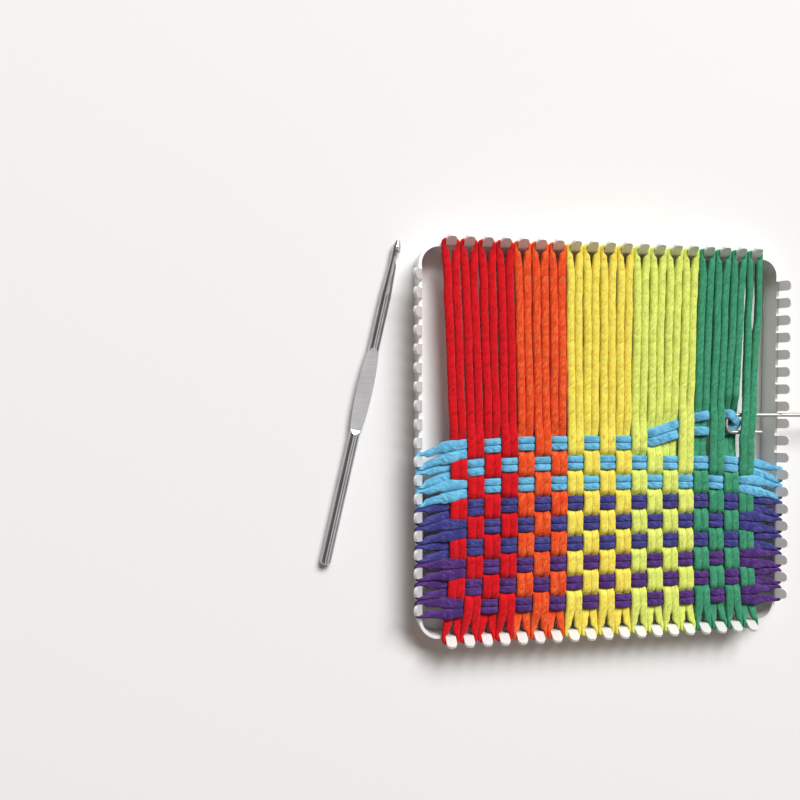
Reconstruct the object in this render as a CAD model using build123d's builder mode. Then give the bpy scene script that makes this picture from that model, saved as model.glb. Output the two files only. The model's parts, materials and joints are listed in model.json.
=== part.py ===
from build123d import *
from math import asin, atan2, cos, exp, hypot, radians, sin, sqrt, tan
import os

# A square metal loom with a half-woven potholder on it. Millimetres, +Z up.
# The origin is the middle of the square, on the surface that the loom stands on.
# +Y points to the side where the warp is still bare, +X to the side that the weaving hook leaves by.

# The frame: one strip of sheet steel bent into a square ring, its upper edge cut into pegs
frame_width = 177.8
steel = 1.4
outer_corner_radius = 9.4
lip_height = 12.0
pegs_per_side = 19
peg_pitch = 8.3
peg_width = 4.65
peg_root_height = 0.9
peg_bend_radius = 0.6
peg_length = 5.5
peg_flare = 36
peg_tip_flat = 0.5
notch_corner_radius = 0.8
peg_root_lap = 3.0
lower_edge_round = 0.3

# The cotton loops, each one a closed ring stretched from a peg to the peg across from it
warp_radius = 1.3
weft_radius = 1.15
free_radius = 1.85
cotton_gap = 0.25
pair_gap = 0.3
turn_half_thickness = 0.7
turn_half_height = 1.15
turn_corner_radius = 1.2
peg_gap = 0.2
lip_gap = 0.1
wall_gap = 0.3
warp_rise = 1.25
crossing_lead = 0.6
free_start_length = 8.0
free_end_length = 10.0
free_pair_gap = 0.2

# The weave
rows_woven = 9
row_pitch = 9.28
fan_length = 16.0
gather_length = 20.0
draw_in_share = 0.05
columns_under_last_row = (1, 3, 5, 7, 9, 11, 13, 14, 16, 18)
climb_first_column = 11
spread_first_column = 12
climb_last_column = 16
settling_rounds = 4

# The weaving hook, a bent wire that draws the last loop through
wire_radius = 1.0
hook_above_weave = 0.2
hook_peg = 11
hook_past_column = 1.4
free_arm_length = 15.0
shaft_length = 92.0
shoulder_length = 9.0
eye_length = 30.0
eye_width = 12.0
eye_closing_gap = 1.0
shoulder_bend_radius = 4.0
bend_flat = 0.3
wire_end_round = 0.6
last_turn_reach = 1.7
last_turn_rise = 2.0
last_turn_radius = 1.2
over_wire_lead = 2.9
over_wire_swing = 0.65
over_wire_gap = 0.45

# The crochet hook, which lies on the table beside the frame
crochet_length = 150.0
crochet_shank_radius = 2.5
crochet_nose_length = 3.2
crochet_nose_radius = 0.9
crochet_nose_round = 0.7
crochet_head_length = 5.4
crochet_head_radius = 1.9
crochet_neck_length = 11.0
crochet_neck_radius = 1.7
crochet_taper_length = 26.0
crochet_end_round = 1.6
throat_lip_undercut = 0.9
throat_floor_length = 1.2
throat_past_middle = 0.4
throat_slope_end = 12.5
thumb_rest_start = 52.0
thumb_rest_length = 36.0
thumb_rest_width = 7.2
thumb_rest_thickness = 3.0
thumb_rest_ramp = 7.0
crochet_tip_from_middle = 96.5
crochet_tip_up = 91.3
crochet_tilt = 13

cut_overrun = 5.0

# Worked out from the sizes above
half_frame = frame_width / 2
inner_half = half_frame - steel
flare = radians(peg_flare)
bend_height = lip_height + peg_root_height
middle_peg = (pegs_per_side + 1) / 2
leg_height = lip_height + lip_gap + turn_half_height
leg_offset = peg_width / 2 + peg_gap + turn_half_thickness
leg_start = inner_half - wall_gap
weave_height = leg_height
strand_distance = warp_radius + weft_radius + cotton_gap
weft_rise = strand_distance - warp_rise
warp_offset = warp_radius + pair_gap / 2
weft_offset = weft_radius + pair_gap / 2
free_offset = free_radius + free_pair_gap / 2
hook_line = (hook_peg - middle_peg) * peg_pitch
arm_offset = peg_pitch / 2
hook_height = weave_height + hook_above_weave
last_turn_spread = arm_offset + pair_gap
over_wire_rise = hook_above_weave + wire_radius + weft_radius + over_wire_gap
under_wire_drop = wire_radius + weft_radius + cotton_gap - hook_above_weave
lifted_warp_rise = hook_above_weave + wire_radius + warp_radius + cotton_gap
pressed_warp_drop = under_wire_drop + weft_radius + warp_radius + cotton_gap

# How the pegs' outer faces lean away from the frame at a height
def peg_face(height):
    past_bend = height - bend_height - peg_bend_radius * sin(flare)
    return peg_bend_radius * (1 - cos(flare)) + past_bend * tan(flare)


turn_support = hypot(turn_half_thickness * cos(flare), turn_half_height * sin(flare))
turn_out = half_frame + peg_face(leg_height) + (turn_support + peg_gap) / cos(flare)


# Where a peg stands along its side, counted from the left or from the bottom
def peg_place(number):
    return (number - middle_peg) * peg_pitch


# A smooth step from nought to one between two places
def ease(value, start, end):
    share = min(max((value - start) / (end - start), 0), 1)
    return share * share * (3 - 2 * share)


# How far from the last strand of a pair the corner of a crossing thread lies, so that its bend
# clears the round strands that it goes over and under
def bend_tangent(pitch, crossed_offset, crossed_rise):
    across = pitch - 2 * crossed_offset
    apart = hypot(across, 2 * crossed_rise)
    slope = asin(min(2 * strand_distance / apart, 1)) - atan2(2 * crossed_rise, across)
    return strand_distance * tan(slope / 2)


first_column_gap = leg_start + peg_place(1)
first_row_spacing = peg_pitch + (row_pitch - peg_pitch) * (1 - exp(-first_column_gap / fan_length))
warp_tangent = bend_tangent(first_row_spacing, weft_offset, weft_rise)
weft_tangent = bend_tangent(peg_pitch * (1 - draw_in_share), warp_offset, warp_rise)


def row_place(row):
    return peg_place(1) + (row - 1) * row_pitch


# The last row leaves its straight line here and climbs to the weaving hook
def last_row_climb(x):
    return ease(x, peg_place(climb_first_column), peg_place(climb_last_column))


# The middle of a row at a distance across the loom: rows fan in from the side pegs
def row_line(row, x):
    straight = row_place(row)
    from_peg = peg_place(row) - straight
    left_share = exp(-(x + leg_start) / fan_length)
    right_share = exp(-(leg_start - x) / fan_length)
    if row == rows_woven:
        return straight + from_peg * left_share + (hook_line - straight) * last_row_climb(x)
    return straight + from_peg * (left_share + right_share)


# Half the distance between the two strands of a row
def row_spread(row, x):
    if row == rows_woven:
        opened = ease(x, peg_place(spread_first_column), peg_place(climb_last_column))
        return weft_offset + (last_turn_spread - weft_offset) * opened
    return weft_offset


# The weave draws the columns in a little, and they run straight from it to the far pegs
def column_line(column, y):
    last_row = row_place(rows_woven)
    gathered = 1 - exp(-(min(y, last_row) + inner_half) / gather_length)
    if y > last_row:
        gathered = gathered * (inner_half - y) / (inner_half - last_row)
    return peg_place(column) * (1 - draw_in_share * gathered)


# Where the middle of a row meets the middle of a column
def crossing(row, column):
    x = peg_place(column)
    for settling in range(settling_rounds):
        y = row_line(row, x)
        x = column_line(column, y)
    return x, y


def weft_is_over(row, column):
    if row == rows_woven:
        return column in columns_under_last_row
    return row % 2 == column % 2


# Height of a warp strand where it meets a row
def warp_height(row, column):
    if row == rows_woven and column == pegs_per_side:
        return weave_height + lifted_warp_rise
    if row == rows_woven and column == pegs_per_side - 1:
        return weave_height - pressed_warp_drop
    return weave_height - warp_rise if weft_is_over(row, column) else weave_height + warp_rise


def weft_height(row, column):
    return weave_height + weft_rise if weft_is_over(row, column) else weave_height - weft_rise


# A point given along a side, out from the middle, and up
def beside(side, along, out, height):
    places = {
        "top": (along, out, height),
        "bottom": (along, -out, height),
        "left": (-out, along, height),
        "right": (out, along, height),
    }
    return places[side]


def out_from(side):
    return beside(side, 0, 1, 0)


def along(side):
    return (1, 0, 0) if side in ("top", "bottom") else (0, 1, 0)


# The plane across a path at its start or its end, with a steady direction sideways
def across_path(path, where, sideways):
    return Plane(origin=path @ where, x_dir=sideways, z_dir=path % where)


# One strand in the weave, with its bends rounded
def add_strand(points, radius, sideways):
    with BuildLine() as path:
        FilletPolyline(*points, radius=strand_distance)
    with BuildSketch(across_path(path.line, 0, sideways)) as section:
        Circle(radius)
    sweep(sections=section.sketch, path=path.line)
    return path.line


# The stretch from the weave to the legs at a peg: round sections that end in a tall narrow one
def add_lead(start, rounds, side, leg_along):
    sections = []
    with BuildSketch(start[0]) as first:
        Circle(start[1])
    sections.append(first.sketch)
    facing = out_from(side)
    for place, radius in rounds:
        with BuildSketch(Plane(origin=place, x_dir=along(side), z_dir=facing)) as middle:
            Circle(radius)
        sections.append(middle.sketch)
    leg = Plane(origin=beside(side, leg_along, leg_start, leg_height), x_dir=along(side), z_dir=facing)
    with BuildSketch(leg) as last:
        Ellipse(turn_half_thickness, turn_half_height)
    sections.append(last.sketch)
    loft(sections=sections, ruled=True)


# Two legs between the pegs and the turn behind one peg
def add_turn(side, middle):
    near, far = middle - leg_offset, middle + leg_offset
    with BuildLine() as path:
        FilletPolyline(
            beside(side, near, leg_start, leg_height),
            beside(side, near, turn_out, leg_height),
            beside(side, far, turn_out, leg_height),
            beside(side, far, leg_start, leg_height),
            radius=turn_corner_radius,
        )
    with BuildSketch(Plane(origin=path.line @ 0, x_dir=along(side), z_dir=out_from(side))) as section:
        Ellipse(turn_half_thickness, turn_half_height)
    sweep(sections=section.sketch, path=path.line)


# The bends of one warp strand, from the first row to the last
def warp_points(column, hand):
    heights = [warp_height(row, column) for row in range(1, rows_woven + 1)]
    points = []

    def add(y, height):
        points.append((column_line(column, y) + hand * warp_offset, y, height))

    first_x, first_y = crossing(1, column)
    add(first_y - row_spread(1, first_x) - crossing_lead, heights[0])
    for row in range(1, rows_woven):
        below, above = heights[row - 1], heights[row]
        if below != above:
            x, y = crossing(row, column)
            add(y + row_spread(row, x) + warp_tangent, below)
            x, y = crossing(row + 1, column)
            add(y - row_spread(row + 1, x) - warp_tangent, above)
    last_x, last_y = crossing(rows_woven, column)
    add(last_y + row_spread(rows_woven, last_x) + crossing_lead, heights[-1])
    return points


def make_warp_loop(column):
    with BuildPart() as warp_loop:
        for hand in (-1, 1):
            strand = add_strand(warp_points(column, hand), warp_radius, along("top"))
            leg_along = peg_place(column) + hand * leg_offset
            below = Plane(origin=strand @ 0, x_dir=along("top"), z_dir=-(strand % 0))
            add_lead((below, warp_radius), (), "bottom", leg_along)
            above = across_path(strand, 1, along("top"))
            starts = (strand @ 1).Y + free_start_length
            ends = leg_start - free_end_length
            rounds = [
                ((column_line(column, y) + hand * free_offset, y, weave_height), free_radius)
                for y in (starts, ends)
            ]
            add_lead((above, warp_radius), rounds, "top", leg_along)
        add_turn("bottom", peg_place(column))
        add_turn("top", peg_place(column))
    return warp_loop.part


# The bends of one weft strand, from the first column to the last one that it reaches
def weft_points(row, hand, last_column, last_lead):
    points = []

    def add(x, height):
        points.append((x, row_line(row, x) + hand * row_spread(row, x), height))

    first_x, _ = crossing(row, 1)
    add(first_x - warp_offset - crossing_lead, weft_height(row, 1))
    for column in range(1, last_column):
        here, there = weft_height(row, column), weft_height(row, column + 1)
        if here != there:
            add(crossing(row, column)[0] + warp_offset + weft_tangent, here)
            add(crossing(row, column + 1)[0] - warp_offset - weft_tangent, there)
    last_x, _ = crossing(row, last_column)
    add(last_x + warp_offset + last_lead, weft_height(row, last_column))
    return points


def make_weft_loop(row):
    with BuildPart() as weft_loop:
        for hand in (-1, 1):
            points = weft_points(row, hand, pegs_per_side, crossing_lead)
            strand = add_strand(points, weft_radius, along("left"))
            leg_along = peg_place(row) + hand * leg_offset
            left = Plane(origin=strand @ 0, x_dir=along("left"), z_dir=-(strand % 0))
            add_lead((left, weft_radius), (), "left", leg_along)
            add_lead((across_path(strand, 1, along("left")), weft_radius), (), "right", leg_along)
        add_turn("left", peg_place(row))
        add_turn("right", peg_place(row))
    return weft_loop.part


# The middle of the weaving hook's bend, just past the middle of the last column but one
bend_middle = crossing(rows_woven, pegs_per_side - 1)[0] + hook_past_column
wire_crossing = arm_offset * sqrt(1 / 2)


# The last loop goes over the hook's far arm, turns inside its bend and comes back under the near arm
def make_last_weft_loop():
    far = weft_points(rows_woven, 1, pegs_per_side - 2, weft_tangent)
    near = weft_points(rows_woven, -1, pegs_per_side - 2, weft_tangent)
    turn = [
        (-over_wire_lead, arm_offset + over_wire_swing, over_wire_rise),
        (0, last_turn_reach, hook_above_weave + last_turn_rise),
        (last_turn_reach, 0, hook_above_weave),
        (0, -last_turn_reach, hook_above_weave - last_turn_rise),
        (-wire_crossing, -wire_crossing, -under_wire_drop),
    ]
    caught = [(bend_middle + x, hook_line + y, weave_height + z) for x, y, z in turn]
    with BuildPart() as last_weft_loop:
        with BuildLine() as path:
            run = far + caught + near[::-1]
            radii = [strand_distance] * (len(far) - 2)
            radii += [last_turn_radius] * (len(caught) + 2)
            radii += [strand_distance] * (len(near) - 2)
            FilletPolyline(*run, radius=radii)
        with BuildSketch(across_path(path.line, 0, along("left"))):
            Circle(weft_radius)
        sweep(path=path.line)
        start, end = path.line @ 0, path.line @ 1
        far_end = Plane(origin=start, x_dir=along("left"), z_dir=-(path.line % 0))
        near_end = Plane(origin=end, x_dir=along("left"), z_dir=path.line % 1)
        add_lead((far_end, weft_radius), (), "left", peg_place(rows_woven) + leg_offset)
        add_lead((near_end, weft_radius), (), "left", peg_place(rows_woven) - leg_offset)
        add_turn("left", peg_place(rows_woven))
    return last_weft_loop.part


# One peg: a flat tab that stands up, then leans outwards, with a round end
with BuildPart() as peg:
    with BuildSketch(Plane.YZ):
        with BuildLine():
            inner_foot = (inner_half, lip_height - peg_root_lap)
            inner_line = Line(inner_foot, (inner_half, bend_height))
            inner_bend = JernArc(inner_line @ 1, (0, 1), peg_bend_radius + steel, -peg_flare)
            inner_tip = PolarLine(inner_bend @ 1, peg_length, 90 - peg_flare)
            outer_line = Line((half_frame, lip_height - peg_root_lap), (half_frame, bend_height))
            outer_bend = JernArc(outer_line @ 1, (0, 1), peg_bend_radius, -peg_flare)
            outer_tip = PolarLine(outer_bend @ 1, peg_length, 90 - peg_flare)
            Line(inner_tip @ 1, outer_tip @ 1)
            Line(inner_foot, outer_line @ 0)
        make_face()
    extrude(amount=peg_width / 2, both=True)
    tip_face = peg.faces().sort_by(Axis.Z)[-1]
    tip_corners = [edge for edge in tip_face.edges() if abs((edge % 0).X) < sin(flare)]
    fillet(tip_corners, (peg_width - peg_tip_flat) / 2)

with BuildPart() as loom_frame:
    with BuildSketch():
        RectangleRounded(frame_width, frame_width, outer_corner_radius)
        RectangleRounded(2 * inner_half, 2 * inner_half, outer_corner_radius - steel, mode=Mode.SUBTRACT)
    extrude(amount=lip_height)
    fillet(loom_frame.edges().group_by(Axis.Z)[0], lower_edge_round)
    quarters = PolarLocations(0, 4)
    stands = GridLocations(peg_pitch, 0, pegs_per_side, 1)
    add([peg.part.moved(quarter * stand) for quarter in quarters for stand in stands], clean=False)
    notch_corners = [
        edge
        for edge in loom_frame.edges().filter_by(GeomType.LINE)
        if abs(edge.center().Z - lip_height) < lip_gap and abs(edge.length - steel) < lip_gap
    ]
    fillet(notch_corners, notch_corner_radius)

# The weaving hook: a bend with two arms, the far one running on to a handle eye
with BuildPart() as weaving_hook:
    near_arm, far_arm = hook_line - arm_offset, hook_line + arm_offset
    shaft_end = bend_middle + shaft_length
    eye_start = shaft_end + shoulder_length
    eye_end = eye_start + eye_length
    eye_near, eye_far = far_arm - eye_width / 2, far_arm + eye_width / 2
    eye_bend_radius = eye_width / 2 - bend_flat
    hook_bend_radius = arm_offset - bend_flat
    with BuildLine() as wire:
        FilletPolyline(
            (bend_middle + free_arm_length, near_arm, hook_height),
            (bend_middle - arm_offset, near_arm, hook_height),
            (bend_middle - arm_offset, far_arm, hook_height),
            (shaft_end, far_arm, hook_height),
            (eye_start, eye_far, hook_height),
            (eye_end, eye_far, hook_height),
            (eye_end, eye_near, hook_height),
            (eye_start, eye_near, hook_height),
            (shaft_end, far_arm - 2 * wire_radius - eye_closing_gap, hook_height),
            radius=[hook_bend_radius] * 2 + [shoulder_bend_radius] * 2
            + [eye_bend_radius] * 2 + [shoulder_bend_radius],
        )
    with BuildSketch(across_path(wire.line, 0, (0, 0, 1))):
        Circle(wire_radius)
    sweep(path=wire.line)
    wire_ends = weaving_hook.faces().filter_by(GeomType.PLANE).sort_by(SortBy.AREA)[-2:]
    fillet(wire_ends.edges(), wire_end_round)

# The crochet hook, laid flat with its throat to the side
tilt = radians(crochet_tilt)
crochet_tip = Vector(-crochet_tip_from_middle, crochet_tip_up, crochet_shank_radius)
crochet_axis = Vector(-sin(tilt), -cos(tilt), 0)
crochet_side = Vector(0, 0, 1).cross(crochet_axis)
flat_on_table = Plane(origin=crochet_tip, x_dir=crochet_axis, z_dir=(0, 0, 1))
upright = Plane(origin=crochet_tip, x_dir=crochet_axis, z_dir=-crochet_side)
thumb_rest_end = thumb_rest_start + thumb_rest_length
thumb_rest_middle = (thumb_rest_start + thumb_rest_end) / 2

with BuildPart() as crochet_hook:
    with BuildSketch(upright):
        with BuildLine():
            Polyline(
                (crochet_length, 0),
                (0, 0),
                (0, crochet_nose_radius),
                (crochet_nose_length, crochet_head_radius),
                (crochet_head_length, crochet_head_radius),
                (crochet_neck_length, crochet_neck_radius),
                (crochet_taper_length, crochet_shank_radius),
                (crochet_length, crochet_shank_radius),
                close=True,
            )
        make_face()
    revolve(axis=Axis(crochet_tip, crochet_axis))
    nose_edges = crochet_hook.edges().sort_by(Axis(crochet_tip, crochet_axis))[0:1]
    fillet(nose_edges, crochet_nose_round)
    with BuildSketch(flat_on_table):
        with BuildLine():
            Polyline(
                (crochet_head_length, cut_overrun),
                (crochet_head_length, crochet_head_radius),
                (crochet_head_length - throat_lip_undercut, -throat_past_middle),
                (crochet_head_length + throat_floor_length, -throat_past_middle),
                (throat_slope_end, crochet_neck_radius),
                (throat_slope_end, cut_overrun),
                close=True,
            )
        make_face()
    extrude(amount=cut_overrun, both=True, mode=Mode.SUBTRACT)
    with BuildSketch(upright):
        for face_of_rest in (-1, 1):
            surface = face_of_rest * thumb_rest_thickness / 2
            outside = face_of_rest * cut_overrun
            with BuildLine():
                Polyline(
                    (thumb_rest_start - thumb_rest_ramp, outside),
                    (thumb_rest_start, surface),
                    (thumb_rest_end, surface),
                    (thumb_rest_end + thumb_rest_ramp, outside),
                    close=True,
                )
            make_face()
    extrude(amount=cut_overrun, both=True, mode=Mode.SUBTRACT)
    with BuildSketch(flat_on_table.offset(-thumb_rest_thickness / 2)):
        with Locations((thumb_rest_middle, 0)):
            Ellipse(thumb_rest_length / 2 + thumb_rest_ramp, thumb_rest_width / 2)
    extrude(amount=thumb_rest_thickness)
    butt_edges = crochet_hook.edges().sort_by(Axis(crochet_tip, crochet_axis))[-1:]
    fillet(butt_edges, crochet_end_round)

pieces = {"loom_frame": loom_frame.part}
for column in range(1, pegs_per_side + 1):
    pieces[f"warp_loop_{column:02d}"] = make_warp_loop(column)
for row in range(1, rows_woven):
    pieces[f"weft_loop_{row}"] = make_weft_loop(row)
pieces[f"weft_loop_{rows_woven}"] = make_last_weft_loop()
pieces["weaving_hook"] = weaving_hook.part
pieces["crochet_hook"] = crochet_hook.part

os.makedirs("parts", exist_ok=True)
for name, piece in pieces.items():
    piece.label = name
    export_step(piece, f"parts/{name}.step")
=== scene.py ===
import json
from math import cos, pi, radians, tan

import bmesh
import bpy
import numpy as np
from mathutils import Matrix, Vector


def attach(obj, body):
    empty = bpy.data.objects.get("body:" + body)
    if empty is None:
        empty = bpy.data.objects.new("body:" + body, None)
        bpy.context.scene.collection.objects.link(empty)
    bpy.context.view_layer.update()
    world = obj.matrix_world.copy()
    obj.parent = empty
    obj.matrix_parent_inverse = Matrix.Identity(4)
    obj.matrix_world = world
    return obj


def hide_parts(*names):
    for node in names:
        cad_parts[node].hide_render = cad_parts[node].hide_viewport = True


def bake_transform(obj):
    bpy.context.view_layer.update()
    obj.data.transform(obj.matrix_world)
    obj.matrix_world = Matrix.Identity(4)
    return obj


bl_info = {
    "name": "Potholder loom",
    "version": (1, 0, 0),
    "blender": (4, 5, 0),
    "location": "View3D > Sidebar > Loom",
    "description": "Cotton loops, finishes and a plain stage for a square potholder loom",
    "category": "Object",
}

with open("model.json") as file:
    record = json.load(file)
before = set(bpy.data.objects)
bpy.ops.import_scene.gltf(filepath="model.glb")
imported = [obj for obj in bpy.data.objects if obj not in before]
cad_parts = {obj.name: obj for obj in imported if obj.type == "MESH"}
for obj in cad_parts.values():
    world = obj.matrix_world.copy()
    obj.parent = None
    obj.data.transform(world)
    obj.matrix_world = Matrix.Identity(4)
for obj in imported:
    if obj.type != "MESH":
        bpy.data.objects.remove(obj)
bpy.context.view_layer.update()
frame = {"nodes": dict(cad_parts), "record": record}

MM = 0.001
UP = np.array([0.0, 0.0, 1.0])

# The loom's own sizes
peg_pitch = 8.3 * MM
pegs_per_side = 19
middle_peg = (pegs_per_side + 1) / 2
half_frame = 88.9 * MM
inner_half = half_frame - 1.4 * MM
leg_start = inner_half - 0.3 * MM
leg_offset = 3.225 * MM
leg_height = 13.25 * MM
turn_out = 90.33 * MM
turn_corner_radius = 1.2 * MM

# How the weave lies, as in the solids
rows_woven = 9
row_pitch = 9.28 * MM
fan_length = 16 * MM
gather_length = 20 * MM
draw_in_share = 0.05
columns_under_last_row = (1, 3, 5, 7, 9, 11, 13, 14, 16, 18)
climb_first_column = 11
climb_last_column = 16
loose_first_column = 12
spread_first_column = 13.5
settling_rounds = 4
weave_height = leg_height

# The weaving hook's bend and how the last loop is caught in it
hook_peg = 11
arm_offset = peg_pitch / 2
hook_above_weave = 0.2 * MM
hook_past_column = 1.4 * MM
last_turn_reach = 2.0 * MM
last_turn_rise = 1.1 * MM
last_turn_radius = 2.0 * MM
last_turn_spread = 4.45 * MM
over_wire_lead = 2.9 * MM
over_wire_swing = 0.65 * MM
over_wire_rise = 2.1 * MM
under_wire_drop = 1.9 * MM
lifted_warp_rise = 2.2 * MM
pressed_warp_drop = 3.65 * MM
caught_half_width = 2.2 * MM
caught_half_height = 0.85 * MM
pressed_stretch = (4 * MM, 14 * MM)
pressed_sway = 0.9 * MM
lifted_sway = -0.7 * MM
last_column_sway = 0.7 * MM

# Above the hook the last two columns stand apart, and so do the last one's strands below its far peg
hook_gap_sway = 0.5 * MM
hook_gap_full = 14 * MM
hook_gap_end = 48 * MM
last_pair_part = 0.55 * MM
last_pair_closed = 44 * MM
last_pair_open = 26 * MM

# How the cotton is squeezed: half widths and half heights of a strand in each place, half the gap
# between two strands, and how much wider a strand gets beside the weave in a long or a short fan
leg_half_height = 1.5 * MM
bare_half_width = 1.9 * MM
bare_half_height = 1.55 * MM
warp_over_half_width = 2.06 * MM
warp_under_half_width = 1.36 * MM
weft_fan_half_width = 2.0 * MM
weft_fan_half_height = 1.5 * MM
weft_over_half_width = 1.66 * MM
weft_under_half_width = 1.2 * MM
weft_loose_half_width = 2.25 * MM
long_fan_swell = 0.6 * MM
short_fan_swell = 0.3 * MM
woven_half_height = 1.15 * MM
dive_half_height = 1.03 * MM
bare_pair_half_gap = 0.03 * MM
woven_pair_half_gap = -0.22 * MM
weft_pair_half_gap = -0.03 * MM
neighbour_half_gap = 0.02 * MM

# Where a strand bends between going over and going under
warp_rise = 1.2 * MM
weft_rise = 1.15 * MM
warp_over_corner = 3.5 * MM
warp_under_corner = 2.9 * MM
weft_over_corner = 2.3 * MM
weft_under_corner = 3.7 * MM
bend_radius = 2.35 * MM
wire_bend_tangent = 1.2 * MM
first_crossing_lead = 2.6 * MM
warp_hidden = (2.2 * MM, 3.7 * MM)
weft_hidden = (2.9 * MM, 4.1 * MM)

# How the two strands of a pair part before a peg, and over what lengths they swell and narrow
parted_offset = 2.45 * MM
parting_length = 10 * MM
squeeze_length = 2.2 * MM
fan_swell_length = 3 * MM
narrowing_share = 0.3
bare_start_length = 8 * MM

# How slowly the strands stray from their even places, and the three waves that a stray is the sum of:
# the share of its reach, the share of its length, and how far a seed turns it
pair_stray_length = 80 * MM
strand_stray_length = 55 * MM
stray_wave_shares = ((0.5, 1, 1), (0.3, 0.43, 2.3), (0.2, 0.19, 4.1))

# The mesh of a strand
ring_spacing = 0.55 * MM
route_step = 0.1 * MM
smoothing_length = 1.3 * MM
strand_sides = 18
grid_half_size = 0.5
straight_turn = radians(0.5)
fewest_bend_steps = 3
roundness = 2.7
swell_length = 11 * MM
swell_share = 0.024
rib_length = 3.1 * MM
rib_share = 0.02
ribs_round = 3
merge_distance = 0.001 * MM
golden_angle = pi * (3 - 5 ** 0.5)

# The room that bright metal mirrors: how pale it is at each share of the way from its left side
room_left_colour = (0.3, 0.29, 0.28, 1)
room_band_shares = (
    (0.28, 0.06),
    (0.4, 0.85),
    (0.58, 1.1),
    (0.63, 0.1),
    (0.7, 0.16),
    (0.78, 1.0),
    (1.0, 0.7),
)

# The light: a large soft key from behind and to the right, and a warm dim fill from all round
key_place = (1.4, 3.3, 3.9)
key_width = 3.2
key_depth = 2.2
key_colour = (0.975, 0.99, 1.0)
fill_colour = (1.0, 0.79, 0.67, 1)
backdrop_colour = (0.97, 0.97, 0.97, 1)
table_half_width = 3.0

# The camera: its sensor, the photograph's width, the lens as pixels of that width, and the shift
sensor_width = 36 * MM
picture_pixels = 800
lens_pixels = 882
shift_share = 0.06
nearest_seen = 10 * MM

# The ranges that noise is stretched from, and the tones, glosses and masks that it is stretched to
noise_low, noise_high = 0.3, 0.7
patch_tones = (0.9, 1.06)
grain_tones = (0.86, 1.12)
enamel_tones = (0.95, 1.02)
enamel_glosses = (0.34, 0.48)
metal_tones = (0.86, 1.04)
metal_gloss_shares = (0.7, 1.4)
speck_start, speck_end = 0.62, 0.86
speck_pick_share = 0.35
dome_share = 0.8
# Painted shade in the hollows between stitches: the stitch dome's level where it starts and where it is
# full, its greatest share, and its colour
stitch_shade_start, stitch_shade_end = 0.55, 0.15
stitch_shade_share = 0.55
stitch_shade_colour = (0.4, 0.36, 0.38, 1)

# How the knit's stitches slant from row to row, and how the marks in the metals run
stitch_slant = 0.8
stitch_unevenness = 0.7
crochet_angle = radians(-77)
wire_angle = 0
drawn_out_share = 0.04
wire_roughness = 0.36
steel_roughness = 0.16

# The second tone in each cotton, as it shows on a screen
fleck_colours = {
    "cotton_red": (176, 14, 24),
    "cotton_orange": (255, 132, 70),
    "cotton_yellow": (255, 204, 68),
    "cotton_lime": (204, 226, 98),
    "cotton_green": (92, 176, 134),
    "cotton_sky": (52, 132, 186),
    "cotton_indigo": (100, 100, 170),
    "cotton_purple": (118, 80, 160),
}

frame_node = frame["nodes"]["loom_frame"]
wire_node = frame["nodes"]["weaving_hook"]
crochet_node = frame["nodes"]["crochet_hook"]
slot_of = {part["node"]: part["material_slot"] for part in frame["record"]["subparts"]}


# A colour as it shows on a screen, from 0 to 255 a channel, turned into the values that shaders take
def screen_colour(*channels):
    linear = []
    for channel in channels:
        share = channel / 255
        linear.append(share / 12.92 if share <= 0.04045 else ((share + 0.055) / 1.055) ** 2.4)
    return tuple(linear)


def colour_setting(name, description, channels):
    return bpy.props.FloatVectorProperty(
        name=name,
        description=description,
        subtype="COLOR",
        size=3,
        min=0,
        max=1,
        default=screen_colour(*channels),
    )


class CottonSettings(bpy.types.PropertyGroup):
    cotton_red: colour_setting("Red", "Cotton of warp loops 1 to 4", (231, 20, 33))
    cotton_orange: colour_setting("Orange", "Cotton of warp loops 5 to 7", (243, 74, 30))
    cotton_yellow: colour_setting("Yellow", "Cotton of warp loops 8 to 11", (255, 244, 104))
    cotton_lime: colour_setting("Lime", "Cotton of warp loops 12 to 15", (242, 252, 126))
    cotton_green: colour_setting("Green", "Cotton of warp loops 16 to 19", (58, 150, 112))
    cotton_sky: colour_setting("Sky blue", "Cotton of weft loops 7 to 9", (122, 204, 240))
    cotton_indigo: colour_setting("Indigo", "Cotton of weft loops 4 to 6", (60, 58, 130))
    cotton_purple: colour_setting("Purple", "Cotton of weft loops 1 to 3", (76, 43, 113))
    flecks: bpy.props.FloatProperty(
        name="Flecks",
        description="How strongly the fibres of a second tone show",
        subtype="FACTOR",
        min=0,
        max=1,
        default=0.6,
    )
    stitch_length: bpy.props.FloatProperty(
        name="Stitch length",
        description="Length of one knitted stitch along a stretched strand",
        unit="LENGTH",
        default=1.5 * MM,
    )
    stitch_rows: bpy.props.FloatProperty(
        name="Stitch rows",
        description="Rows of stitches round a strand",
        default=10,
    )
    wander: bpy.props.FloatProperty(
        name="Wander",
        description="How far the strands stray from their even places",
        unit="LENGTH",
        default=0.2 * MM,
    )


class MetalSettings(bpy.types.PropertyGroup):
    frame_enamel: colour_setting("Frame", "Powder coat of the frame", (245, 245, 242))
    hook_wire: colour_setting("Wire", "Drawn wire of the weaving hook", (180, 172, 165))
    crochet_steel: colour_setting("Crochet hook", "Polished steel of the crochet hook", (190, 188, 190))


class StageSettings(bpy.types.PropertyGroup):
    floor: colour_setting("Floor", "The table that the loom lies on", (244, 244, 243))
    camera_place: bpy.props.FloatVectorProperty(
        name="Camera place",
        description="Where the camera stands",
        subtype="TRANSLATION",
        size=3,
        default=(-158.5 * MM, 12.2 * MM, 400 * MM),
    )
    camera_aim: bpy.props.FloatVectorProperty(
        name="Camera aim",
        description="The point on the table that the camera looks at",
        subtype="TRANSLATION",
        size=3,
        default=(-73 * MM, -2.9 * MM, 0),
    )
    key_power: bpy.props.FloatProperty(
        name="Key light",
        description="Power of the large soft light",
        unit="POWER",
        default=348,
    )
    fill_strength: bpy.props.FloatProperty(
        name="Fill",
        description="Strength of the light all round",
        default=0.17,
    )


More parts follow.
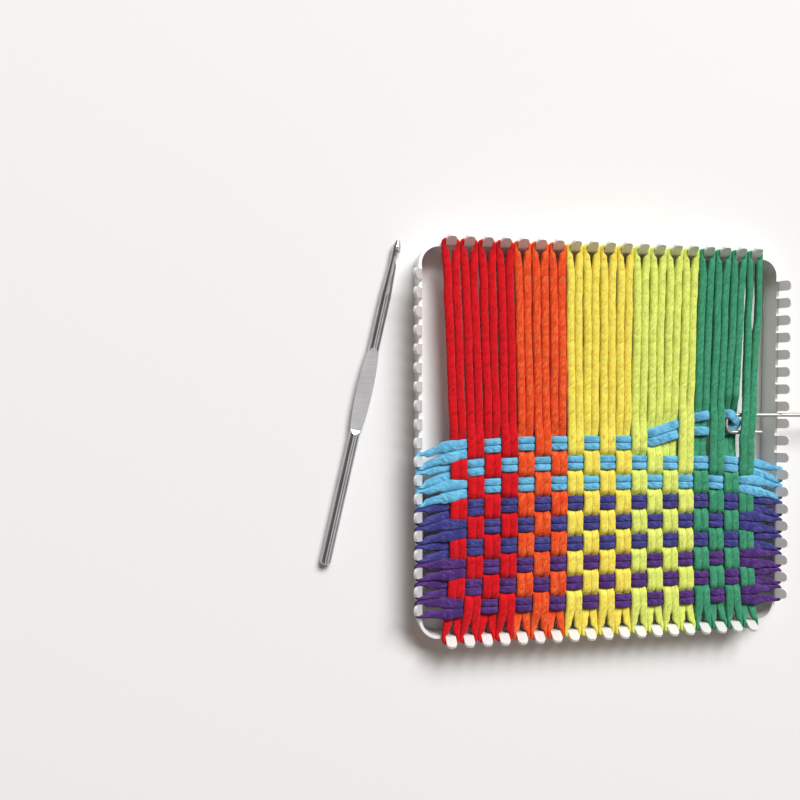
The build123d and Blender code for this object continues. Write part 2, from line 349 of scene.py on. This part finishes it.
# Where a peg stands along its side, counted from the left or from the bottom
def peg_place(number):
    return (number - middle_peg) * peg_pitch


# A smooth step from nought to one between two places
def ease(value, start, end):
    share = np.clip((value - start) / (end - start), 0, 1)
    return share * share * (3 - 2 * share)


def mix(first, second, share):
    return first + (second - first) * share


def row_place(row):
    return peg_place(1) + (row - 1) * row_pitch


hook_line = peg_place(hook_peg)


# The middle of a row at a distance across the loom: rows fan in from the side pegs
def row_line(row, x):
    straight = row_place(row)
    from_peg = peg_place(row) - straight
    left_share = np.exp(-(x + leg_start) / fan_length)
    right_share = np.exp(-(leg_start - x) / fan_length)
    if row < rows_woven:
        return straight + from_peg * (left_share + right_share)
    climb = ease(x, peg_place(climb_first_column), peg_place(climb_last_column))
    return straight + from_peg * left_share + (hook_line - straight) * climb


# How far the last row's two strands are held apart by the hook
def row_opening(row, x):
    if row < rows_woven:
        return 0 * x
    return ease(x, peg_place(spread_first_column), bend_middle - over_wire_lead)


# Where the last row isn't beaten in yet and its strands lie loose
def row_looseness(row, x):
    if row < rows_woven:
        return 0 * x
    first_loose = peg_place(loose_first_column)
    return ease(x, first_loose - peg_pitch / 2, first_loose + peg_pitch / 2)


# The weave draws the columns in a little, and they run straight from it to the far pegs
def column_line(column, y):
    last_row = row_place(rows_woven)
    gathered = 1 - np.exp(-(np.minimum(y, last_row) + inner_half) / gather_length)
    gathered = gathered * np.where(y > last_row, (inner_half - y) / (inner_half - last_row), 1)
    return peg_place(column) * (1 - draw_in_share * gathered)


# Where a row crosses a column; each bends the other's place, so it is found in a few rounds
def crossing(row, column):
    x = peg_place(column)
    for _ in range(settling_rounds):
        y = row_line(row, x)
        x = column_line(column, y)
    return float(x), float(y)


# Whether the weft lies over the warp at a crossing: plain weave, but for slips in the last row
def weft_is_over(row, column):
    if row == rows_woven:
        return column in columns_under_last_row
    return row % 2 == column % 2


# The hook lifts the last column over its arms and presses the one before it down
def warp_height(row, column):
    if row == rows_woven and column == pegs_per_side:
        return weave_height + lifted_warp_rise
    if row == rows_woven and column == pegs_per_side - 1:
        return weave_height - pressed_warp_drop
    return weave_height - warp_rise if weft_is_over(row, column) else weave_height + warp_rise


def weft_height(row, column):
    return weave_height + weft_rise if weft_is_over(row, column) else weave_height - weft_rise


bend_middle = crossing(rows_woven, pegs_per_side - 1)[0] + hook_past_column


# Points close together along a run of corners, each corner rounded to a radius
def rounded(corners, radius):
    corners = [np.array(corner, float) for corner in corners]
    points = [corners[0]]
    for before, corner, after in zip(corners, corners[1:], corners[2:]):
        back, ahead = before - corner, after - corner
        reach = min(np.linalg.norm(back), np.linalg.norm(ahead)) / 2
        back, ahead = back / np.linalg.norm(back), ahead / np.linalg.norm(ahead)
        turn = pi - np.arccos(np.clip(back @ ahead, -1, 1))
        if turn < straight_turn:
            continue
        tangent = min(radius * tan(turn / 2), reach)
        steps = max(int(radius * turn / route_step), fewest_bend_steps)
        for share in np.linspace(0, 1, steps):
            start, end = corner + back * tangent, corner + ahead * tangent
            points.append((1 - share) ** 2 * start + 2 * share * (1 - share) * corner + share**2 * end)
    points.append(corners[-1])
    return np.array(points)


# Points at even steps along a line, with as many as fit its length
def evenly(points, step):
    runs = np.linalg.norm(np.diff(points, axis=0), axis=1)
    along = np.concatenate([[0], np.cumsum(runs)])
    count = max(int(along[-1] / step), 2)
    places = np.linspace(0, along[-1], count + 1)
    return np.stack([np.interp(places, along, points[:, axis]) for axis in range(3)], axis=1)


# A closed line, softened and given an even number of rings
def soften(points):
    fine = evenly(np.vstack([points, points[:1]]), route_step)[:-1]
    width = max(int(smoothing_length / route_step), 1) | 1
    window = np.hanning(width + 2)[1:-1]
    window /= window.sum()
    wrapped = np.vstack([fine[-width:], fine, fine[:width]])
    soft = np.stack([np.convolve(wrapped[:, axis], window, "same") for axis in range(3)], axis=1)
    return evenly(np.vstack([soft[width:-width], soft[width : width + 1]]), ring_spacing)


# A gentle wave with no repeat that shows, different for each seed
def stray(distance, seed, longest):
    total = 0 * distance
    for reach, length, turn in stray_wave_shares:
        angle = 2 * pi * distance / (longest * length) + turn * golden_angle * seed
        total = total + reach * np.sin(angle)
    return total


# The height of a warp strand along its whole length, as corners in the plane that it lies in
def warp_profile(column):
    corners = [(0, -leg_start, leg_height)]
    crossings = [(crossing(row, column), row) for row in range(1, rows_woven + 1)]
    corners.append((0, crossings[0][0][1] - first_crossing_lead, warp_height(1, column)))
    for ((_, y), row), ((_, next_y), next_row) in zip(crossings, crossings[1:]):
        here, there = warp_height(row, column), warp_height(next_row, column)
        if here == there:
            continue
        leaving = warp_over_corner if here > there else warp_under_corner
        arriving = warp_under_corner if here > there else warp_over_corner
        if next_row == rows_woven and column >= pegs_per_side - 1:
            arriving = last_turn_spread + wire_bend_tangent
        corners.append((0, y + leaving, here))
        corners.append((0, next_y - arriving, there))
    last_y = crossings[-1][0][1]
    held = column >= pegs_per_side - 1
    past_last = last_turn_spread + wire_bend_tangent if held else first_crossing_lead
    corners.append((0, last_y + past_last, warp_height(rows_woven, column)))
    corners.append((0, last_y + past_last + bare_start_length, weave_height))
    corners.append((0, leg_start, leg_height))
    return corners


# How much of a warp strand's width is squeezed away where the weft covers it
def warp_cover(column, y):
    cover = 0 * y
    for row in range(1, rows_woven + 1):
        beaten_in = row < rows_woven or column < loose_first_column
        if weft_is_over(row, column) and beaten_in:
            cover = np.maximum(cover, 1 - ease(np.abs(y - crossing(row, column)[1]), *warp_hidden))
    return cover


# The same for a weft strand under the warp
def weft_cover(row, x):
    cover = 0 * x
    for column in range(1, pegs_per_side + 1):
        if not weft_is_over(row, column):
            cover = np.maximum(cover, 1 - ease(np.abs(x - crossing(row, column)[0]), *weft_hidden))
    return cover


# The share of the way from loose strands to parted ones, and from there to the peg's two sides
def nearness(place):
    parted = ease(np.abs(place), leg_start - parting_length, leg_start - squeeze_length)
    return parted, ease(np.abs(place), leg_start - squeeze_length, leg_start)


# How near a place on the last two columns is to the hook
def hook_nearness(y):
    return 1 - ease(np.abs(y - hook_line), *pressed_stretch)


# The hook holds the last two columns aside a little, and the last one stands apart where it is bare
def column_sway(column, y):
    past_hook = y - hook_line
    opened = ease(past_hook, 0, hook_gap_full)
    closed = ease(past_hook, hook_gap_full, hook_gap_end)
    gap = hook_gap_sway * opened * (1 - closed)
    if column == pegs_per_side - 1:
        return pressed_sway * hook_nearness(y) - gap
    if column == pegs_per_side:
        standing_off = last_column_sway * ease(y, row_place(rows_woven), hook_line)
        return standing_off + gap / 2 + lifted_sway * hook_nearness(y)
    return 0 * y


# How far a warp strand lies from the middle of its pair, and its half width and half height
def warp_section(column, y):
    cover = warp_cover(column, y)
    last_y = crossing(rows_woven, column)[1]
    bare = ease(y, last_y + first_crossing_lead, last_y + first_crossing_lead + bare_start_length)
    width = mix(mix(warp_over_half_width, warp_under_half_width, cover), bare_half_width, bare)
    height = mix(woven_half_height, bare_half_height, bare)
    if column >= pegs_per_side - 1:
        height = mix(height, caught_half_height, hook_nearness(y))
    parted, at_peg = nearness(y)
    loose = width + mix(woven_pair_half_gap, bare_pair_half_gap, bare)
    if column == pegs_per_side:
        from_peg = leg_start - y
        loose = loose + last_pair_part * (1 - ease(from_peg, last_pair_open, last_pair_closed))
    offset = mix(mix(loose, parted_offset, parted), leg_offset, at_peg)
    room = peg_pitch / 2 - offset - neighbour_half_gap
    return offset, np.minimum(width, room), mix(height, leg_half_height, at_peg)


# The same for a weft strand, which is plump beside the weave, where nothing presses on it
def weft_section(row, x):
    cover = weft_cover(row, x)
    last_x = crossing(row, pegs_per_side)[0]
    in_fan = ease(np.abs(x), last_x, last_x + fan_swell_length)
    lying_over = weft_is_over(row, 1)
    plump_start = last_x - peg_pitch / 2 if lying_over else last_x - 3 * peg_pitch / 2
    plump = ease(np.abs(x), plump_start - peg_pitch / 2, plump_start)
    width = mix(mix(weft_over_half_width, weft_under_half_width, cover), weft_fan_half_width, in_fan)
    width = mix(width, weft_loose_half_width, row_looseness(row, x) * (1 - cover / 2))
    width = width + (long_fan_swell if lying_over else short_fan_swell) * plump * (1 - cover)
    diving = 4 * cover * (1 - cover)
    height = mix(mix(woven_half_height, dive_half_height, diving), weft_fan_half_height, in_fan)
    unbeaten = np.maximum(in_fan, row_looseness(row, x))
    touching = width + mix(weft_pair_half_gap, bare_pair_half_gap, unbeaten)
    opened = mix(touching, last_turn_spread, row_opening(row, x))
    parted, at_peg = nearness(x)
    offset = mix(mix(opened, parted_offset, parted), leg_offset, at_peg)
    room = mix(row_pitch, peg_pitch, parted) / 2 - offset - neighbour_half_gap
    narrowed = mix(width, np.minimum(width, room), ease(parted, 0, narrowing_share))
    return offset, narrowed, mix(height, leg_half_height, at_peg)


# The height of a weft strand from its left peg to the last column that it crosses
def weft_profile(row, last_column):
    corners = [(-leg_start, 0, leg_height)]
    places = [(crossing(row, column)[0], column) for column in range(1, last_column + 1)]
    corners.append((places[0][0] - first_crossing_lead, 0, weft_height(row, 1)))
    for (x, column), (next_x, next_column) in zip(places, places[1:]):
        here, there = weft_height(row, column), weft_height(row, next_column)
        if here == there:
            continue
        leaving = weft_over_corner if here > there else weft_under_corner
        arriving = weft_under_corner if here > there else weft_over_corner
        corners.append((x + leaving, 0, here))
        corners.append((next_x - arriving, 0, there))
    last_height = weft_height(row, last_column)
    corners.append((places[-1][0] + first_crossing_lead, 0, last_height))
    return corners


# Two legs between the pegs and the turn behind one peg, from its lower numbered side to the other
def turn_route(side, middle, direction):
    near, far = middle - direction * leg_offset, middle + direction * leg_offset
    flat = [(near, leg_start), (near, turn_out), (far, turn_out), (far, leg_start)]
    places = {
        "top": [(along, out, leg_height) for along, out in flat],
        "bottom": [(along, -out, leg_height) for along, out in flat],
        "left": [(-out, along, leg_height) for along, out in flat],
        "right": [(out, along, leg_height) for along, out in flat],
    }
    return rounded(places[side], turn_corner_radius)


def warp_route(column, wander):
    profile = evenly(rounded(warp_profile(column), bend_radius), route_step)
    y = profile[:, 1]
    free = 1 - ease(np.abs(y), leg_start - 2 * parting_length, leg_start)
    bare = ease(y, row_place(rows_woven), row_place(rows_woven) + 2 * parting_length)
    strands = []
    for hand in (-1, 1):
        of_pair = stray(y, column, pair_stray_length)
        of_strand = bare * stray(y, hand * column, strand_stray_length)
        drift = wander * (of_pair + of_strand) + column_sway(column, y)
        x = column_line(column, y) + free * drift + hand * warp_section(column, y)[0]
        strands.append(np.stack([x, y, profile[:, 2]], axis=1))
    left, right = strands
    top = turn_route("top", peg_place(column), 1)
    bottom = turn_route("bottom", peg_place(column), -1)
    return np.vstack([left, top[1:-1], right[::-1], bottom[1:-1]])


def weft_strand(row, hand, corners, wander):
    profile = evenly(rounded(corners, bend_radius), route_step)
    x = profile[:, 0]
    free = 1 - ease(np.abs(x), leg_start - 2 * parting_length, leg_start)
    drift = wander * stray(x, row + pegs_per_side, pair_stray_length)
    y = row_line(row, x) + free * drift + hand * weft_section(row, x)[0]
    return np.stack([x, y, profile[:, 2]], axis=1)


def weft_route(row, wander):
    corners = weft_profile(row, pegs_per_side) + [(leg_start, 0, leg_height)]
    near, far = (weft_strand(row, hand, corners, wander) for hand in (-1, 1))
    right = turn_route("right", peg_place(row), 1)
    left = turn_route("left", peg_place(row), -1)
    return np.vstack([near, right[1:-1], far[::-1], left[1:-1]])


# The last loop goes over the hook's far arm, turns inside its bend and comes back under the near arm
def last_weft_route(wander):
    corners = weft_profile(rows_woven, pegs_per_side - 2)
    near, far = (weft_strand(rows_woven, hand, corners, wander) for hand in (-1, 1))
    wire_crossing = arm_offset * cos(pi / 4)
    turn = [
        (-over_wire_lead, arm_offset + over_wire_swing, over_wire_rise),
        (0, last_turn_reach, hook_above_weave + last_turn_rise),
        (last_turn_reach, 0, hook_above_weave),
        (0, -last_turn_reach, hook_above_weave - last_turn_rise),
        (-wire_crossing, -wire_crossing, -under_wire_drop),
    ]
    caught = [(bend_middle + x, hook_line + y, weave_height + z) for x, y, z in turn]
    caught = rounded([far[-1], *caught, near[-1]], last_turn_radius)
    left = turn_route("left", peg_place(rows_woven), -1)
    return np.vstack([near, caught[::-1][1:-1], far[::-1], left[1:-1]])


# A sheet of grid cells rolled into a tube that follows a closed line
def rolled_strand(name, route, half_width, half_height, seed):
    rings = len(route) - 1
    ahead = np.roll(route[:-1], -1, axis=0) - np.roll(route[:-1], 1, axis=0)
    ahead = np.vstack([ahead, ahead[:1]])
    ahead /= np.linalg.norm(ahead, axis=1)[:, None]
    sideways = np.cross(ahead, UP)
    sideways /= np.linalg.norm(sideways, axis=1)[:, None]
    above = np.cross(sideways, ahead)
    length = rings * ring_spacing
    along = np.linspace(0, 1, rings + 1)[:, None]
    round_it = np.linspace(0, 2 * pi, strand_sides + 1)[None, :]
    swell = swell_share * np.sin(2 * pi * along * round(length / swell_length) + golden_angle * seed)
    ribs = 1 + rib_share * np.sin(ribs_round * round_it + 2 * pi * along * round(length / rib_length))
    power = 2 / roundness
    flat = np.sign(np.cos(round_it)) * np.abs(np.cos(round_it)) ** power
    tall = np.sign(np.sin(round_it)) * np.abs(np.sin(round_it)) ** power
    out = half_width[:, None] * ribs * (1 - swell / 2) * flat
    high = half_height[:, None] * ribs * (1 + swell) * tall
    places = route[:, None] + out[..., None] * sideways[:, None] + high[..., None] * above[:, None]

    shape = bmesh.new()
    layer = shape.loops.layers.uv.verify()
    bmesh.ops.create_grid(
        shape, x_segments=rings, y_segments=strand_sides, size=grid_half_size, calc_uvs=True
    )
    for vert in shape.verts:
        ring = round((vert.co.x + grid_half_size) * rings)
        side = round((vert.co.y + grid_half_size) * strand_sides)
        vert.co = places[ring, side]
    for face in shape.faces:
        face.smooth = True
        for corner in face.loops:
            corner[layer].uv.x *= length
    bmesh.ops.remove_doubles(shape, verts=shape.verts, dist=merge_distance)
    bmesh.ops.recalc_face_normals(shape, faces=shape.faces)
    mesh = bpy.data.meshes.new(name)
    shape.to_mesh(mesh)
    shape.free()
    piece = bpy.data.objects.new(name, mesh)
    bpy.context.scene.collection.objects.link(piece)
    return piece


# Puts a new piece in a node's place, with the finish of that node's slot
def stand_in(piece, node, material):
    piece.data.materials.append(material)
    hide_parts(node)


# A material of its own name with its tree and its shader
def node_tree(name):
    material = bpy.data.materials.get(name) or bpy.data.materials.new(name)
    material.use_nodes = True
    tree = material.node_tree
    shader = next(node for node in tree.nodes if node.type == "BSDF_PRINCIPLED")
    return material, tree, shader


# A node in a tree, with its settings and the values or links of its inputs
def add_node(tree, kind, inputs=(), **settings):
    node = tree.nodes.new(kind)
    for setting, value in settings.items():
        setattr(node, setting, value)
    for socket, value in dict(inputs).items():
        if isinstance(value, bpy.types.NodeSocket):
            tree.links.new(value, node.inputs[socket])
        else:
            node.inputs[socket].default_value = value
    return node


def maths(tree, operation, *values):
    return add_node(tree, "ShaderNodeMath", enumerate(values), operation=operation).outputs[0]


def new_group(name, inputs, outputs):
    group = bpy.data.node_groups.new(name, "ShaderNodeTree")
    for socket, kind, value in inputs:
        made = group.interface.new_socket(socket, in_out="INPUT", socket_type=kind)
        made.default_value = value
    for socket, kind in outputs:
        group.interface.new_socket(socket, in_out="OUTPUT", socket_type=kind)
    return group, group.nodes.new("NodeGroupInput"), group.nodes.new("NodeGroupOutput")


# A value stretched from one range to another and held between the new ends
def remap(tree, value, low, high, new_low=0, new_high=1):
    inputs = {"Value": value, 1: low, 2: high, 3: new_low, 4: new_high}
    return add_node(tree, "ShaderNodeMapRange", inputs).outputs[0]


def mix_colour(tree, share, first, second, blend_type="MIX"):
    inputs = {0: share, 6: first, 7: second}
    return add_node(tree, "ShaderNodeMix", inputs, data_type="RGBA", blend_type=blend_type).outputs[2]


def noise(tree, place, scale, detail, roughness=0.5):
    inputs = {"Vector": place, "Scale": scale, "Detail": detail, "Roughness": roughness}
    return add_node(tree, "ShaderNodeTexNoise", inputs).outputs[0]


# Jersey knit stretched along a strand: rows of slanted stitches in spun yarn of two tones, with painted
# shade darkening the hollows between the stitches
def knit_group():
    found = bpy.data.node_groups.get("Stretched knit")
    if found:
        return found
    group, given, result = new_group(
        "Stretched knit",
        [
            ("Colour", "NodeSocketColor", (0.5, 0.5, 0.5, 1)),
            ("Fleck colour", "NodeSocketColor", (0.5, 0.5, 0.5, 1)),
            ("Flecks", "NodeSocketFloat", 0.5),
            ("Stitch length", "NodeSocketFloat", 1.5 * MM),
            ("Stitch rows", "NodeSocketFloat", 10),
        ],
        [("Colour", "NodeSocketColor"), ("Height", "NodeSocketFloat")],
    )
    place = add_node(group, "ShaderNodeUVMap").outputs["UV"]
    split = add_node(group, "ShaderNodeSeparateXYZ", {0: place})
    rows = maths(group, "MULTIPLY", split.outputs["Y"], given.outputs["Stitch rows"])
    stitches = maths(group, "DIVIDE", split.outputs["X"], given.outputs["Stitch length"])
    slanted = maths(group, "MULTIPLY_ADD", rows, stitch_slant, stitches)
    cell = add_node(group, "ShaderNodeCombineXYZ", {"X": slanted, "Y": rows}).outputs[0]
    stitch = add_node(
        group,
        "ShaderNodeTexVoronoi",
        {"Vector": cell, "Scale": 1.0, "Randomness": stitch_unevenness},
        voronoi_dimensions="2D",
    )
    solid = add_node(group, "ShaderNodeTexCoord").outputs["Object"]
    fibre = noise(group, solid, 2800, 3, 0.6)
    patch = noise(group, solid, 300, 2, 0.6)
    dome = maths(group, "SUBTRACT", 1.0, stitch.outputs["Distance"])
    height = maths(group, "MULTIPLY_ADD", dome, dome_share, fibre)
    pick = add_node(group, "ShaderNodeSeparateColor", {0: stitch.outputs["Color"]}).outputs[0]
    speckled = maths(group, "MULTIPLY_ADD", pick, speck_pick_share, fibre)
    speck = remap(group, speckled, speck_start, speck_end)
    fleck_share = maths(group, "MULTIPLY", speck, given.outputs["Flecks"])
    flecked = mix_colour(group, fleck_share, given.outputs["Colour"], given.outputs["Fleck colour"])
    uneven = remap(group, patch, noise_low, noise_high, *patch_tones)
    grain = remap(group, fibre, noise_low, noise_high, *grain_tones)
    toned = mix_colour(group, 1, flecked, maths(group, "MULTIPLY", uneven, grain), "MULTIPLY")
    # Painted shade: the colour is darkened where the stitch dome falls away into the hollows between
    # stitches
    gap = remap(group, dome, stitch_shade_start, stitch_shade_end, 0, stitch_shade_share)
    stitch_shaded = mix_colour(group, 1, toned, stitch_shade_colour, "MULTIPLY")
    group.links.new(mix_colour(group, gap, toned, stitch_shaded), result.inputs["Colour"])
    group.links.new(height, result.inputs["Height"])
    return group


# Cotton of one colour, flecked with fibres of a neighbouring tone
def cotton_material(slot, colour, settings):
    material, tree, shader = node_tree(slot)
    knit = add_node(tree, "ShaderNodeGroup", node_tree=knit_group())
    knit.inputs["Colour"].default_value = (*colour, 1)
    knit.inputs["Fleck colour"].default_value = (*screen_colour(*fleck_colours[slot]), 1)
    knit.inputs["Flecks"].default_value = settings.flecks
    knit.inputs["Stitch length"].default_value = settings.stitch_length
    knit.inputs["Stitch rows"].default_value = settings.stitch_rows
    bump = add_node(
        tree,
        "ShaderNodeBump",
        {"Height": knit.outputs["Height"], "Strength": 0.6, "Distance": 0.4 * MM},
    )
    tree.links.new(knit.outputs["Colour"], shader.inputs["Base Color"])
    tree.links.new(bump.outputs[0], shader.inputs["Normal"])
    shader.inputs["Roughness"].default_value = 0.95
    shader.inputs["Specular IOR Level"].default_value = 0.15
    shader.inputs["Sheen Weight"].default_value = 0.12
    shader.inputs["Sheen Roughness"].default_value = 0.5
    return material


# Satin powder coat: a faint orange peel and a slightly uneven tone
def enamel_material(colour):
    material, tree, shader = node_tree("frame_enamel")
    solid = add_node(tree, "ShaderNodeTexCoord").outputs["Object"]
    peel = noise(tree, solid, 900, 2)
    cloud = noise(tree, solid, 60, 3)
    tone = remap(tree, cloud, noise_low, noise_high, *enamel_tones)
    shade = mix_colour(tree, 1, (*colour, 1), tone, "MULTIPLY")
    gloss = remap(tree, cloud, 0, 1, *enamel_glosses)
    bump = add_node(tree, "ShaderNodeBump", {"Height": peel, "Strength": 0.12, "Distance": 0.1 * MM})
    tree.links.new(shade, shader.inputs["Base Color"])
    tree.links.new(gloss, shader.inputs["Roughness"])
    tree.links.new(bump.outputs[0], shader.inputs["Normal"])
    return material


# Bright metal with fine marks drawn out along one direction
def metal_material(name, colour, roughness, angle):
    material, tree, shader = node_tree(name)
    solid = add_node(tree, "ShaderNodeTexCoord").outputs["Object"]
    turned = add_node(
        tree,
        "ShaderNodeMapping",
        {"Vector": solid, "Rotation": (0, 0, angle), "Scale": (drawn_out_share, 1, 1)},
    ).outputs[0]
    marks = noise(tree, turned, 2600, 4)
    stains = noise(tree, solid, 90, 3)
    tone = remap(tree, stains, noise_low, noise_high, *metal_tones)
    shade = mix_colour(tree, 1, (*colour, 1), tone, "MULTIPLY")
    glosses = [roughness * share for share in metal_gloss_shares]
    gloss = remap(tree, marks, noise_low, noise_high, *glosses)
    bump = add_node(tree, "ShaderNodeBump", {"Height": marks, "Strength": 0.08, "Distance": 0.02 * MM})
    tree.links.new(shade, shader.inputs["Base Color"])
    tree.links.new(gloss, shader.inputs["Roughness"])
    tree.links.new(bump.outputs[0], shader.inputs["Normal"])
    shader.inputs["Metallic"].default_value = 1
    return material


def give_finish(node, material):
    node.data.materials.clear()
    node.data.materials.append(material)


def cotton_of(node, settings):
    slot = slot_of[node]
    return cotton_material(slot, getattr(settings, slot), settings)


class LOOM_OT_finish_metal(bpy.types.Operator):
    """Gives the frame its powder coat and the two hooks their bright metal"""

    bl_idname = "loom.finish_metal"
    bl_label = "Finish frame and hooks"

    def execute(self, context):
        settings = context.scene.loom_metal
        give_finish(frame_node, enamel_material(settings.frame_enamel))
        wire = metal_material("hook_wire", settings.hook_wire, wire_roughness, wire_angle)
        give_finish(wire_node, wire)
        steel = metal_material("crochet_steel", settings.crochet_steel, steel_roughness, crochet_angle)
        give_finish(crochet_node, steel)
        return {"FINISHED"}


class LOOM_OT_make_warp(bpy.types.Operator):
    """Stretches the nineteen warp loops from the far pegs to the near pegs"""

    bl_idname = "loom.make_warp"
    bl_label = "Make warp loops"

    def execute(self, context):
        settings = context.scene.loom_cotton
        for column in range(1, pegs_per_side + 1):
            node = f"warp_loop_{column:02d}"
            route = soften(warp_route(column, settings.wander))
            _, width, height = warp_section(column, route[:, 1])
            piece = rolled_strand(f"knitted_warp_{column:02d}", route, width, height, column)
            stand_in(piece, node, cotton_of(node, settings))
            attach(piece, "loom")
        return {"FINISHED"}


class LOOM_OT_make_weft(bpy.types.Operator):
    """Weaves the eight finished weft loops from peg to peg"""

    bl_idname = "loom.make_weft"
    bl_label = "Make weft loops"

    def execute(self, context):
        settings = context.scene.loom_cotton
        for row in range(1, rows_woven):
            node = f"weft_loop_{row}"
            route = soften(weft_route(row, settings.wander))
            _, width, height = weft_section(row, route[:, 0])
            piece = rolled_strand(f"knitted_weft_{row}", route, width, height, row + pegs_per_side)
            stand_in(piece, node, cotton_of(node, settings))
            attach(piece, "loom")
        return {"FINISHED"}


class LOOM_OT_make_last_weft(bpy.types.Operator):
    """Draws the last weft loop from its left peg into the bend of the weaving hook"""

    bl_idname = "loom.make_last_weft"
    bl_label = "Make the caught loop"

    def execute(self, context):
        settings = context.scene.loom_cotton
        node = f"weft_loop_{rows_woven}"
        route = soften(last_weft_route(settings.wander))
        _, width, height = weft_section(rows_woven, route[:, 0])
        last_under = crossing(rows_woven, pegs_per_side - 2)[0]
        caught = ease(route[:, 0], last_under - weft_under_corner, last_under + weft_under_corner)
        width = mix(width, caught_half_width, caught)
        height = mix(height, caught_half_height, caught)
        piece = rolled_strand(f"knitted_weft_{rows_woven}", route, width, height, 2 * pegs_per_side)
        stand_in(piece, node, cotton_of(node, settings))
        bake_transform(piece)
        return {"FINISHED"}


class LOOM_OT_set_stage(bpy.types.Operator):
    """Sets the pale table, the soft lights and the camera"""

    bl_idname = "loom.set_stage"
    bl_label = "Set the stage"

    def execute(self, context):
        settings = context.scene.loom_stage
        make_floor(settings.floor)
        add_light(settings.key_power)
        light_all_round(settings.fill_strength)
        place_camera(Vector(settings.camera_place), Vector(settings.camera_aim))
        context.scene.view_settings.view_transform = "Standard"
        return {"FINISHED"}


def make_floor(colour):
    shape = bmesh.new()
    bmesh.ops.create_grid(shape, x_segments=1, y_segments=1, size=table_half_width)
    mesh = bpy.data.meshes.new("table")
    shape.to_mesh(mesh)
    shape.free()
    floor = bpy.data.objects.new("table", mesh)
    bpy.context.scene.collection.objects.link(floor)
    material, _, shader = node_tree("table")
    shader.inputs["Base Color"].default_value = (*colour, 1)
    shader.inputs["Roughness"].default_value = 0.9
    shader.inputs["Specular IOR Level"].default_value = 0.1
    floor.data.materials.append(material)


def add_light(power):
    lamp = bpy.data.lights.new("key", "AREA")
    lamp.shape = "RECTANGLE"
    lamp.size = key_width
    lamp.size_y = key_depth
    lamp.energy = power
    lamp.color = key_colour
    key = bpy.data.objects.new("key", lamp)
    key.location = key_place
    key.rotation_euler = (-key.location).to_track_quat("-Z", "Y").to_euler()
    bpy.context.scene.collection.objects.link(key)


def mix_shader(tree, share, first, second):
    return add_node(tree, "ShaderNodeMixShader", {0: share, 1: first.outputs[0], 2: second.outputs[0]})


# A warm dim light all round; bright metal mirrors a room with pale and dark sides instead
def light_all_round(strength):
    world = bpy.context.scene.world or bpy.data.worlds.new("soft light")
    bpy.context.scene.world = world
    world.use_nodes = True
    tree = world.node_tree
    tree.nodes.clear()
    warm = add_node(tree, "ShaderNodeBackground", {"Color": fill_colour, "Strength": strength})
    pale = add_node(tree, "ShaderNodeBackground", {"Color": backdrop_colour, "Strength": 1.0})
    way = add_node(tree, "ShaderNodeTexCoord").outputs["Generated"]
    across = add_node(tree, "ShaderNodeSeparateXYZ", {0: way}).outputs["X"]
    bands = add_node(tree, "ShaderNodeValToRGB", {0: remap(tree, across, -1, 1)})
    bands.color_ramp.elements.remove(bands.color_ramp.elements[1])
    bands.color_ramp.elements[0].color = room_left_colour
    for place, level in room_band_shares:
        band = bands.color_ramp.elements.new(place)
        band.color = (level, level, level, 1)
    room = add_node(tree, "ShaderNodeBackground", {"Color": bands.outputs[0], "Strength": 1.0})
    path = add_node(tree, "ShaderNodeLightPath")
    in_camera, in_mirror = path.outputs["Is Camera Ray"], path.outputs["Is Glossy Ray"]
    seen = mix_shader(tree, in_camera, warm, pale)
    mirrored = mix_shader(tree, in_mirror, seen, room)
    add_node(tree, "ShaderNodeOutputWorld", {0: mirrored.outputs[0]})


def place_camera(place, aim):
    view = bpy.data.cameras.new("camera")
    view.sensor_width = sensor_width / MM
    view.lens = view.sensor_width * lens_pixels / picture_pixels
    view.shift_x = -shift_share
    view.shift_y = shift_share
    view.clip_start = nearest_seen
    camera = bpy.data.objects.new("camera", view)
    back = (place - aim).normalized()
    right = Vector((0, 1, 0)).cross(back).normalized()
    up = back.cross(right)
    camera.matrix_world = Matrix.Translation(place) @ Matrix((right, up, back)).transposed().to_4x4()
    bpy.context.scene.collection.objects.link(camera)
    bpy.context.scene.camera = camera


class LOOM_PT_sidebar(bpy.types.Panel):
    bl_label = "Potholder loom"
    bl_idname = "LOOM_PT_sidebar"
    bl_space_type = "VIEW_3D"
    bl_region_type = "UI"
    bl_category = "Loom"

    def draw(self, context):
        for settings in (context.scene.loom_cotton, context.scene.loom_metal, context.scene.loom_stage):
            for setting in settings.bl_rna.properties:
                if setting.identifier not in ("rna_type", "name"):
                    self.layout.prop(settings, setting.identifier)
        for operator in operators:
            self.layout.operator(operator.bl_idname)


operators = (
    LOOM_OT_finish_metal,
    LOOM_OT_make_warp,
    LOOM_OT_make_weft,
    LOOM_OT_make_last_weft,
    LOOM_OT_set_stage,
)
classes = (CottonSettings, MetalSettings, StageSettings, *operators, LOOM_PT_sidebar)


def register():
    for each in classes:
        bpy.utils.register_class(each)
    bpy.types.Scene.loom_cotton = bpy.props.PointerProperty(type=CottonSettings)
    bpy.types.Scene.loom_metal = bpy.props.PointerProperty(type=MetalSettings)
    bpy.types.Scene.loom_stage = bpy.props.PointerProperty(type=StageSettings)


def unregister():
    del bpy.types.Scene.loom_stage
    del bpy.types.Scene.loom_metal
    del bpy.types.Scene.loom_cotton
    for each in reversed(classes):
        bpy.utils.unregister_class(each)


def main():
    register()
    bpy.ops.loom.finish_metal()
    bpy.ops.loom.make_warp()
    bpy.ops.loom.make_weft()
    bpy.ops.loom.make_last_weft()
    bpy.ops.loom.set_stage()


if __name__ == "__main__":
    main()
